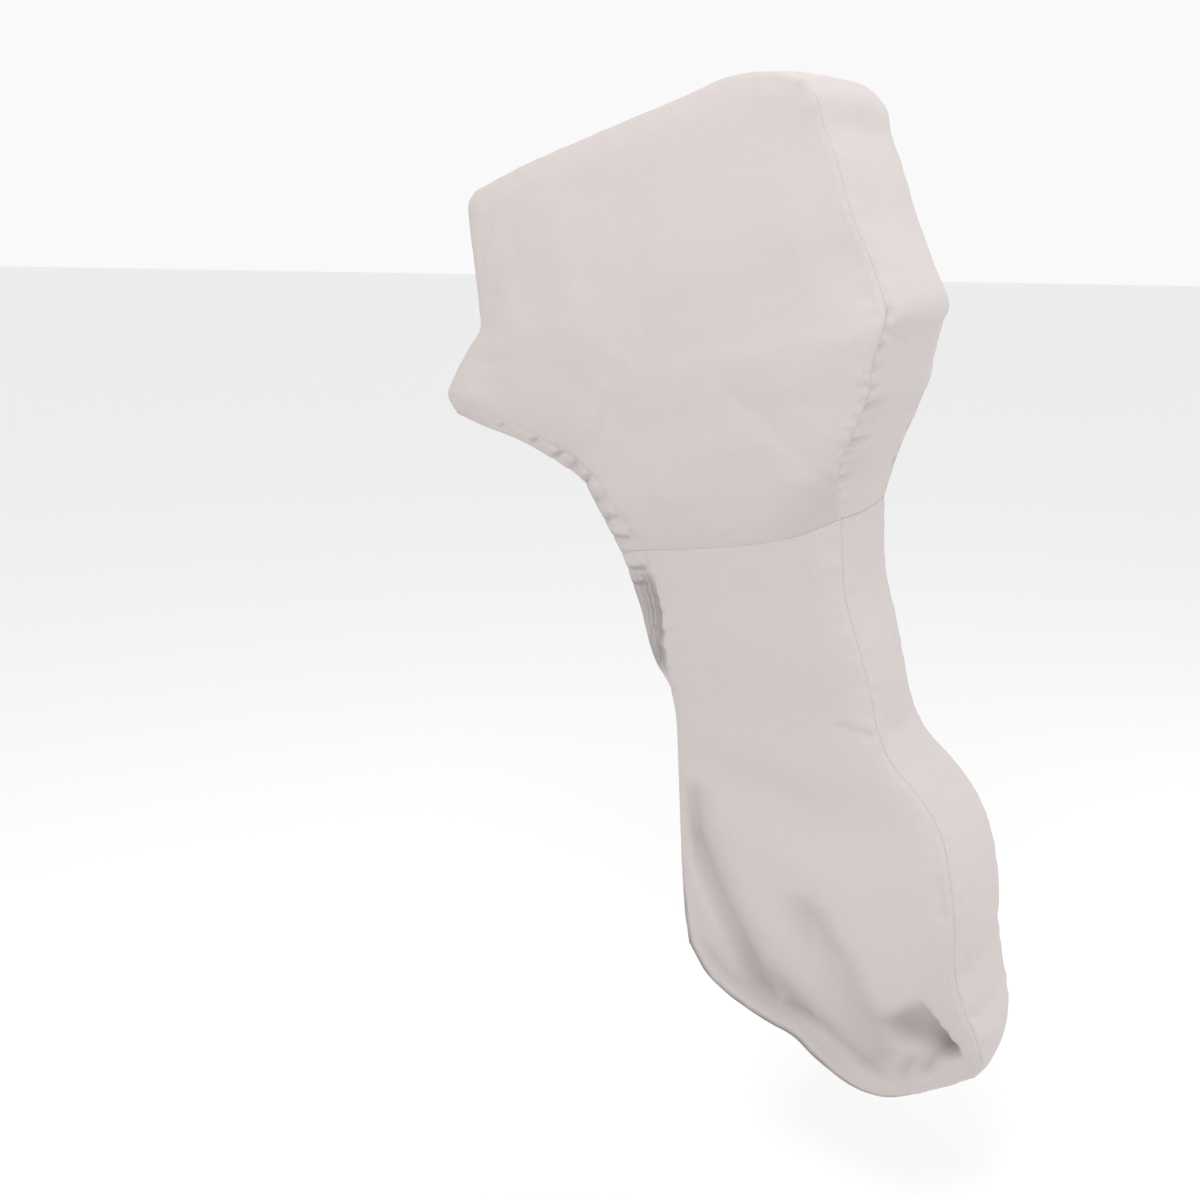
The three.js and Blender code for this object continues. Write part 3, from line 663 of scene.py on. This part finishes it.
def gussetPanel(name, run, seed):
    # strip between the two sides: a row for each station along the outline
    stations, rises = [], []
    for stretch, backwards in run:
        length = pathLength(edges[stretch](np.linspace(0, 1, steps["length"])))
        count = int(length / (gusset["rearCell"] if stretch == "hoodRear" else cloth["cell"]))
        along = np.linspace(0, 1, count + 1)
        if backwards:
            along = along[::-1]
        if stations:
            along = along[1:]
        stations.append(edges[stretch](along))
        rises.append(fromTable(crown[stretch], along))
    stations = np.vstack(stations)
    rises = np.concatenate(rises)
    step = np.linalg.norm(np.diff(stations, axis=0), axis=1)
    distance = np.concatenate(([0], np.cumsum(step)))
    outward = outwardAlong(stations)

    across = 2 * shares(gusset["columns"]) - 1
    lift = rises[:, None] * (1 - np.abs(across) ** gusset["crownPower"])[None]
    points = stations[:, None] + outward[:, None] * lift[..., None]
    points[..., 1] *= across
    normals = gridNormals(points, outward[:, None])

    y = points[..., 1]
    height = np.broadcast_to(stations[:, None, 2], y.shape)
    far = np.broadcast_to(distance[:, None], y.shape)
    toSeam = stations[:, None, 1] * (1 - np.abs(across))[None]
    isRear = smooth((stations[:, :1] - gusset["rearFrom"]) / gusset["rearEase"])
    inside = smooth(toSeam / cloth["edgeEase"])
    atSeam = smooth(toSeam / cloth["seamEase"])

    fine = waves("gusset broad", far, y, seed) * smooth(toSeam / cloth["broadEase"])
    fine += waves("gusset small", far, y, seed) * inside
    for place, depth, spread, reach, lean in rearGathers:
        for hand, share, drop in gusset["gatherHands"]:
            away = bell(height + drop - place - lean * toSeam, spread)
            fade = bell(toSeam, reach) * atSeam * (hand * y > 0)
            fine -= share * depth * away * fade * isRear
    for label, place, depth, above, below in crossFolds:
        past = height - place - waves("gusset fold", y, y, seed)
        away = bell(past, np.where(past > 0, above, below))
        fine -= depth * away * smooth(toSeam / gusset["foldEase"]) * isRear
    fine += waves("gusset seam", far, y, seed) * bell(toSeam, pullReach["seam"])
    fine += cloth["weltHeight"] * bell(toSeam - 0.5 * cloth["weltReach"], cloth["weltSpread"])

    # the hems at the free ends of the strip
    toEnd = distance if name == "hood_gusset" else distance[-1] - distance
    toEnd = np.broadcast_to(toEnd[:, None], y.shape)
    fine += hem["puff"] * np.sin(np.pi * np.clip(toEnd / hem["channel"], 0, 1)) * inside
    fine -= hem["groove"] * bell(toEnd - hem["channel"], hem["grooveSpread"])
    gatherHere = bell(toEnd - hem["channel"], hem["gatherReach"])
    fine += waves("gusset hem", y, toEnd, seed) * gatherHere * smooth(toEnd / hem["gatherEase"])
    points += normals * (fine * atSeam)[..., None]
    return {
        "name": name, "points": points, "normals": normals,
        "cloth": np.stack((y, far), axis=-1),
        "seam": np.stack((far, toSeam), axis=-1),
        "hem": np.stack((y, toEnd - hem["channel"]), axis=-1),
        "fold": np.zeros(y.shape + (2,)),
    }


def insetEdges(panel):
    # pulls the outer lines of the mesh back from the seam
    points = panel["points"]
    every = slice(None)
    for line, inner in ((0, 1), (-1, -2), ((every, 0), (every, 1)), ((every, -1), (every, -2))):
        way = points[inner] - points[line]
        way /= np.linalg.norm(way, axis=-1, keepdims=True) + guards["length"]
        points[line] = points[line] + way * cloth["seamGap"]


def makeSheet(panel, outerMaterial, innerMaterial):
    # a grid whose points are laid on the panel, then given the cloth's thickness
    rows, columns = panel["points"].shape[:2]
    bpy.ops.object.select_all(action="DESELECT")
    bpy.ops.mesh.primitive_grid_add(x_subdivisions=columns - 1, y_subdivisions=rows - 1, size=1)
    sheet = bpy.context.object
    sheet.name = panel["name"] + "_cloth"
    sheet.data.name = sheet.name
    mesh = sheet.data
    mesh.vertices.foreach_set("co", panel["points"].reshape(-1))

    corner = np.zeros(len(mesh.loops), int)
    mesh.loops.foreach_get("vertex_index", corner)
    while mesh.uv_layers:
        mesh.uv_layers.remove(mesh.uv_layers[0])
    # the material reads these coordinates
    for layer in ("cloth", "seam", "hem", "fold"):
        uv = mesh.uv_layers.new(name=layer)
        uv.data.foreach_set("uv", panel[layer].reshape(-1, 2)[corner].reshape(-1))
    mesh.update()

    facing = np.zeros(3 * len(mesh.polygons))
    mesh.polygons.foreach_get("normal", facing)
    middle = panel["normals"][rows // 2, columns // 2]
    polygon = facing.reshape(rows - 1, columns - 1, 3)[rows // 2, columns // 2]
    if polygon @ middle < 0:
        mesh.flip_normals()
    mesh.polygons.foreach_set("use_smooth", [True] * len(mesh.polygons))

    mesh.materials.append(outerMaterial)
    mesh.materials.append(innerMaterial)
    solid = sheet.modifiers.new("Solidify", "SOLIDIFY")
    solid.thickness = cloth["thickness"]
    solid.offset = -1
    solid.use_even_offset = False
    solid.material_offset = 1
    bpy.ops.object.modifier_apply(modifier=solid.name)
    # the rim keeps flat faces, or the shading would turn into the seam
    isFace = np.arange(len(mesh.polygons)) < 2 * (rows - 1) * (columns - 1)
    mesh.polygons.foreach_set("use_smooth", isFace)
    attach(sheet, "root")
    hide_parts(panel["name"])
    return sheet


# Materials

coverLook = {
    "colour": (0.492, 0.446, 0.432, 1),
    "faded": (0.505, 0.461, 0.447, 1),
    "deep": (0.478, 0.431, 0.416, 1),
    # darker colour of the cloth's inside: painted shade for the hollow inside the cover
    "inside": (0.34, 0.31, 0.30, 1),
    "thread": (0.495, 0.452, 0.437, 1),
    # dark colour of real dirt in the seams, also used for painted shade along the sole and in the
    # folds
    "dirtAndShade": (0.15, 0.14, 0.13, 1),
    "turnedHemShade": (0.18, 0.165, 0.16, 1),  # painted shade on the leg's turned-in hem, which lies back in shadow behind its fold
    "roughness": 0.88, "sheen": 0.15, "sheenRoughness": 0.6, "specular": 0.25,
    # noise scale, detail and range of the broad fading and of the small blotches, share of both
    "fading": (3.2, 3, 0.35, 0.7), "blotches": (60, 4, 0.4, 0.75), "fadeShare": 0.4,
}

weaveLook = {
    "pitch": 0.0013, "distortion": 0.6,
    "slubStretch": [(60, 1400, 1), (1400, 60, 1)],  # along the weft and along the warp
    "slubRange": (0.6, 1.4), "grain": (0.95, 1.04),  # thin threads are darker, thick ones paler
}

stitchLook = {
    "length": 0.0042, "width": 0.0006,
    "seamRows": (0.003, 0.009),  # rows of stitches, by their distance from the seam
    "threadFade": (0.5, 1.4),  # shares of the width between which the thread ends
    "dashFade": (0.32, 0.46),  # shares of the length between which it dips in
}

# Darkening: real dirt in the seams, painted shade along the sole's lower edge and in the folds
dirtAndShadeLook = {
    "seam": 0.01, "sole": 0.85, "fold": 0.36,  # how dark it is
    # distance from the seam, height and place back up to which it is full, and where it ends
    "seamReach": (0, 0.005), "soleReach": (0.006, 0.015),
    "soleHeight": (-1.34, -1.20), "soleBack": (0.24, 0.31),
    "foldDepth": (0.003, 0.040),  # depth of a fold from which it shows and at which it is full
    "patchScale": 30, "patchRange": (0.3, 0.6), "patchLeast": 0.6,
}

# Painted shade on the leg's turned-in hem, where it lies back in shadow behind its fold
hemShadeLook = {
    "share": 0.8, "edgeShare": 0.7,  # how dark it is at the stitches, and of that at the hem's edge
    # where it starts and is full below the hem's top, is full and ends above its foot
    "top": (0.015, 0.085), "foot": (0.05, 0.01),
    "stitches": (-0.0025, 0.0005), "edge": (-0.040, -0.015),  # places past the row of stitches
    "streakStretch": (9, 190, 1), "streakRange": (0.3, 0.65), "streakLeast": 0.55,
}

# Bumps: strength and depth, and the scale of the crumples
bumpLook = {
    "threads": (0.25, 0.00025), "crumples": (0.16, 0.0012), "stitches": (0.45, 0.0006),
    "crumpleScale": 20,
}


def nodeAt(tree, kind, x, y, **settings):
    node = tree.nodes.new(kind)
    node.location = (x, y)
    for name, value in settings.items():
        setattr(node, name, value)
    return node


def feed(tree, socket, value):
    # links an output to a socket, or sets the socket to a value
    if hasattr(value, "is_output"):
        tree.links.new(value, socket)
    else:
        socket.default_value = value


def mathNode(tree, operation, x, y, *values):
    node = nodeAt(tree, "ShaderNodeMath", x, y, operation=operation)
    for socket, value in zip(node.inputs, values):
        feed(tree, socket, value)
    return node.outputs[0]


def uvNode(tree, y, name):
    return nodeAt(tree, "ShaderNodeUVMap", -2600, y, uv_map=name).outputs[0]


def partsNode(tree, y, vector):
    # the three coordinates of a vector
    node = nodeAt(tree, "ShaderNodeSeparateXYZ", -2400, y)
    tree.links.new(vector, node.inputs[0])
    return node.outputs[:]


def rangeNode(tree, x, y, value, fromLow, fromHigh, low, high, eased=True):
    # runs evenly or eased from one pair of values to another
    kind = "SMOOTHSTEP" if eased else "LINEAR"
    node = nodeAt(tree, "ShaderNodeMapRange", x, y, interpolation_type=kind)
    names = ("From Min", "From Max", "To Min", "To Max")
    for name, number in zip(names, (fromLow, fromHigh, low, high)):
        node.inputs[name].default_value = number
    tree.links.new(value, node.inputs["Value"])
    return node.outputs["Result"]


def mixNode(tree, x, y, share, first, second, blend="MIX"):
    node = nodeAt(tree, "ShaderNodeMix", x, y, data_type="RGBA", blend_type=blend)
    for socket, value in ((0, share), (6, first), (7, second)):
        feed(tree, node.inputs[socket], value)
    return node.outputs[2]


def bumpNode(tree, x, y, look, height, under=None):
    node = nodeAt(tree, "ShaderNodeBump", x, y)
    node.inputs["Strength"].default_value, node.inputs["Distance"].default_value = bumpLook[look]
    tree.links.new(height, node.inputs["Height"])
    if under:
        tree.links.new(under, node.inputs["Normal"])
    return node.outputs[0]


def noiseNode(tree, x, y, scale, detail, vector):
    node = nodeAt(tree, "ShaderNodeTexNoise", x, y)
    node.inputs["Scale"].default_value = scale
    node.inputs["Detail"].default_value = detail
    tree.links.new(vector, node.inputs["Vector"])
    return node.outputs["Fac"]


def stitchRow(tree, along, distance, offset, x, y):
    # 1 on the thread of one row of stitches, 0 off it
    past = mathNode(tree, "SUBTRACT", x, y, distance, offset)
    away = mathNode(tree, "ABSOLUTE", x + 180, y, past)
    low, high = (share * stitchLook["width"] for share in stitchLook["threadFade"])
    onRow = rangeNode(tree, x + 360, y, away, low, high, 1, 0)
    under = y - 160
    turns = mathNode(tree, "MULTIPLY", x, under, along, 1 / stitchLook["length"])
    part = mathNode(tree, "FRACT", x + 180, under, turns)
    fromMiddle = mathNode(tree, "SUBTRACT", x + 360, under, part, 0.5)
    middle = mathNode(tree, "ABSOLUTE", x + 520, under, fromMiddle)
    dash = rangeNode(tree, x + 700, under, middle, *stitchLook["dashFade"], 1, 0)
    return mathNode(tree, "MULTIPLY", x + 880, y, onRow, dash)


def clothMaterial(name, base, isOuter):
    material = bpy.data.materials.new(name)
    material.use_nodes = True
    tree = material.node_tree
    link = tree.links.new
    shader = tree.nodes["Principled BSDF"]
    shader.inputs["Roughness"].default_value = coverLook["roughness"]
    shader.inputs["Sheen Weight"].default_value = coverLook["sheen"]
    shader.inputs["Sheen Roughness"].default_value = coverLook["sheenRoughness"]
    shader.inputs["Specular IOR Level"].default_value = coverLook["specular"]

    place = nodeAt(tree, "ShaderNodeTexCoord", -2600, 900).outputs["Object"]
    back, up = partsNode(tree, 1300, place)[::2]
    flat, hemMap = uvNode(tree, 400, "cloth"), uvNode(tree, -900, "hem")
    alongSeam, toSeam = partsNode(tree, -300, uvNode(tree, -300, "seam"))[:2]
    alongHem, pastStitches = partsNode(tree, -900, hemMap)[:2]
    pressed = partsNode(tree, 1700, uvNode(tree, 1700, "fold"))[0]

    # plain weave: warp and weft bands cross, at 20 radians to a unit of the texture
    turnsPerMetre = 2 * math.pi / (20 * weaveLook["pitch"])
    warp = nodeAt(tree, "ShaderNodeTexWave", -2200, 500, wave_type="BANDS", bands_direction="X")
    weft = nodeAt(tree, "ShaderNodeTexWave", -2200, 200, wave_type="BANDS", bands_direction="Y")
    for bands in (warp, weft):
        bands.inputs["Scale"].default_value = turnsPerMetre
        bands.inputs["Distortion"].default_value = weaveLook["distortion"]
        bands.inputs["Detail"].default_value = 1
        link(flat, bands.inputs["Vector"])
    weave = mathNode(tree, "MULTIPLY", -1900, 400, warp.outputs["Fac"], weft.outputs["Fac"])

    # slubs: thicker threads here and there, drawn out along the warp and the weft
    slubs = []
    for stretched, y in zip(weaveLook["slubStretch"], (100, -100)):
        way = nodeAt(tree, "ShaderNodeMapping", -2200, y)
        way.inputs["Scale"].default_value = stretched
        link(flat, way.inputs["Vector"])
        slubs.append(noiseNode(tree, -2000, y, 1, 2, way.outputs[0]))
    slub = mathNode(tree, "ADD", -1800, 0, *slubs)

    # colour: broad fading, small blotches and the grain of the threads
    colour = base
    for key, hue, x, y in (("fading", "faded", -1500, 1000), ("blotches", "deep", -1300, 900)):
        scale, detail, low, high = coverLook[key]
        noise = noiseNode(tree, x - 700, y + 50, scale, detail, place)
        share = rangeNode(tree, x - 300, y + 50, noise, low, high, 0, coverLook["fadeShare"], False)
        colour = mixNode(tree, x, y, share, colour, coverLook[hue] if isOuter else base)
    grain = rangeNode(tree, -1500, 200, slub, *weaveLook["slubRange"], *weaveLook["grain"], False)
    colour = mixNode(tree, -1100, 800, 1, colour, grain, "MULTIPLY")

    # rows of stitches beside the seams and along the hem's channel
    stitches = stitchRow(tree, alongHem, pastStitches, 0, -2200, -1000)
    for i, offset in enumerate(stitchLook["seamRows"]):
        row = stitchRow(tree, alongSeam, toSeam, offset, -2200, -300 - 350 * i)
        stitches = mathNode(tree, "MAXIMUM", -1100 + 100 * i, -400 - 100 * i, stitches, row)

    # dirt gathers in the seams; along the sole a dark band is painted shade, standing for the shaded
    # underside of the sole's seam
    inSeam = rangeNode(tree, -1500, -100, toSeam, *dirtAndShadeLook["seamReach"], dirtAndShadeLook["seam"], 0)
    patches = noiseNode(tree, -2200, 1450, dirtAndShadeLook["patchScale"], 2, place)
    soleShade = rangeNode(tree, -2000, 1250, toSeam, *dirtAndShadeLook["soleReach"], dirtAndShadeLook["sole"], 0)
    parts = (
        rangeNode(tree, -2000, 1350, up, *dirtAndShadeLook["soleHeight"], 1, 0),
        rangeNode(tree, -1900, 1450, patches, *dirtAndShadeLook["patchRange"], dirtAndShadeLook["patchLeast"], 1),
        rangeNode(tree, -2000, 1550, back, *dirtAndShadeLook["soleBack"], 1, 0),
    )
    for i, part in enumerate(parts):
        soleShade = mathNode(tree, "MULTIPLY", -1800 + 100 * i, 1350, soleShade, part)
    seamDirtAndSoleShade = mathNode(tree, "MAXIMUM", -1300, 0, inSeam, soleShade)
    colour = mixNode(tree, -900, 600, seamDirtAndSoleShade, colour, coverLook["dirtAndShade"])

    # painted shade in the folds, darker the deeper they are
    foldShade = rangeNode(tree, -2000, 1700, pressed, *dirtAndShadeLook["foldDepth"], 0, dirtAndShadeLook["fold"], False)
    colour = mixNode(tree, -850, 580, foldShade, colour, coverLook["dirtAndShade"])

    # the leg's turned-in hem is painted dark, in streaks along it, as painted shade behind its fold
    streaks = nodeAt(tree, "ShaderNodeMapping", -2200, -1500)
    streaks.inputs["Scale"].default_value = hemShadeLook["streakStretch"]
    link(hemMap, streaks.inputs["Vector"])
    streak = noiseNode(tree, -2000, -1500, 1, 3, streaks.outputs[0])
    paintedHemShade = rangeNode(tree, -1800, -1500, streak, *hemShadeLook["streakRange"], hemShadeLook["streakLeast"], 1)
    top = [legHemStart + distance for distance in hemShadeLook["top"]]
    foot = [legHemEnd - distance for distance in hemShadeLook["foot"]]
    parts = (
        rangeNode(tree, -1800, -1700, alongHem, *top, 0, 1),
        rangeNode(tree, -1800, -1900, alongHem, *foot, 1, 0),
        rangeNode(tree, -1800, -2100, pastStitches, *hemShadeLook["stitches"], hemShadeLook["share"], 0),
        rangeNode(tree, -1800, -2300, pastStitches, *hemShadeLook["edge"], hemShadeLook["edgeShare"], 1),
    )
    for i, part in enumerate(parts):
        paintedHemShade = mathNode(tree, "MULTIPLY", -1500 + 100 * i, -1700, paintedHemShade, part)
    colour = mixNode(tree, -800, 560, paintedHemShade, colour, coverLook["turnedHemShade"])
    colour = mixNode(tree, -700, 500, stitches, colour, coverLook["thread"])
    link(colour, shader.inputs["Base Color"])

    # relief, from the threads up to the small crumples of the cloth
    threads = bumpNode(tree, -700, 0, "threads", mathNode(tree, "ADD", -900, 100, weave, slub))
    crumple = noiseNode(tree, -1500, -1300, bumpLook["crumpleScale"], 3, place)
    crumpled = bumpNode(tree, -500, -200, "crumples", crumple, threads)
    link(bumpNode(tree, -300, -300, "stitches", stitches, crumpled), shader.inputs["Normal"])
    return material


# Studio

studio = {
    "cameraPlace": (0.9027, -2.7083, -0.1943), "cameraTurn": (77.7, 0, 24), "lens": 54, "sensor": 36,
    "floorDrop": 0.30, "floorSize": 80, "floorColour": (0.88, 0.88, 0.88, 1), "floorRoughness": 0.9,
    "worldColour": (1, 1, 1, 1), "worldStrength": 0.95,
}

# Lights: name, place, aimed at, size, power
lights = [
    ("side", (0.3, -2.6, 1.6), (0.0, 0.0, -0.7), 1.5, 54),
    ("overhead", (0.2, 0.3, 3.0), (0.0, 0.0, -0.7), 2.0, 18),
    ("rear", (3.2, 1.0, 1.2), (0.0, 0.0, -0.7), 1.8, 37),
]


def makeStudio():
    camera = bpy.data.cameras.new("camera")
    camera.lens = studio["lens"]
    camera.sensor_width = studio["sensor"]
    holder = bpy.data.objects.new("camera", camera)
    bpy.context.scene.collection.objects.link(holder)
    holder.location = studio["cameraPlace"]
    holder.rotation_euler = [math.radians(angle) for angle in studio["cameraTurn"]]
    bpy.context.scene.camera = holder

    bpy.ops.object.select_all(action="DESELECT")
    low = cadBox[0][2] - studio["floorDrop"]
    bpy.ops.mesh.primitive_plane_add(size=studio["floorSize"], location=(0, 0, low))
    floor = bpy.context.object
    floor.name = "floor"
    paper = bpy.data.materials.new("pale_floor")
    paper.use_nodes = True
    shader = paper.node_tree.nodes["Principled BSDF"]
    shader.inputs["Base Color"].default_value = studio["floorColour"]
    shader.inputs["Roughness"].default_value = studio["floorRoughness"]
    floor.data.materials.append(paper)

    world = bpy.data.worlds.new("studio")
    bpy.context.scene.world = world
    world.use_nodes = True
    sky = world.node_tree.nodes["Background"]
    sky.inputs["Color"].default_value = studio["worldColour"]
    sky.inputs["Strength"].default_value = studio["worldStrength"]

    for name, place, target, size, power in lights:
        lamp = bpy.data.lights.new(name, "AREA")
        lamp.size = size
        lamp.energy = power
        holder = bpy.data.objects.new(name, lamp)
        bpy.context.scene.collection.objects.link(holder)
        holder.location = place
        aim = np.array(target) - np.array(place)
        tilt = math.atan2(math.hypot(aim[0], aim[1]), -aim[2])
        holder.rotation_euler = (tilt, 0, math.atan2(aim[1], aim[0]) - math.pi / 2)


bpy.context.scene.view_settings.view_transform = "Standard"
makeStudio()
print("studio ready")

outerCloth = clothMaterial("cover_cloth", coverLook["colour"], True)
# the inner faces get the darker copy of the cloth, as painted shade
shadedInnerCloth = clothMaterial("cover_cloth_inside_shaded", coverLook["inside"], False)

hoodAcross = shares(hoodSide["width"], hoodSide["hemEnd"])
hoodDown = shares(hoodSide["depth"], fineEnd=True)
legAcross = shares(legSide["width"], fineStart=True)
legDown = shares(legSide["depth"], legSide["hemFoot"])
panels = []
for sideName, look in sideLooks.items():
    for piece, lines in (
        ("hood_side_", (hoodEdges, hoodAcross, hoodDown, hoodBulge)),
        ("leg_side_", (legEdges, legAcross, legDown, legBulge)),
    ):
        panels.append(sidePanel(piece + sideName, *lines, look))
for gussetName, run, seed in gussetRuns:
    panels.append(gussetPanel(gussetName, run, seed))
print("panels laid out")

for panel in panels:
    insetEdges(panel)
    piece = makeSheet(panel, outerCloth, shadedInnerCloth)
    print("made", piece.name, len(piece.data.polygons), "faces")
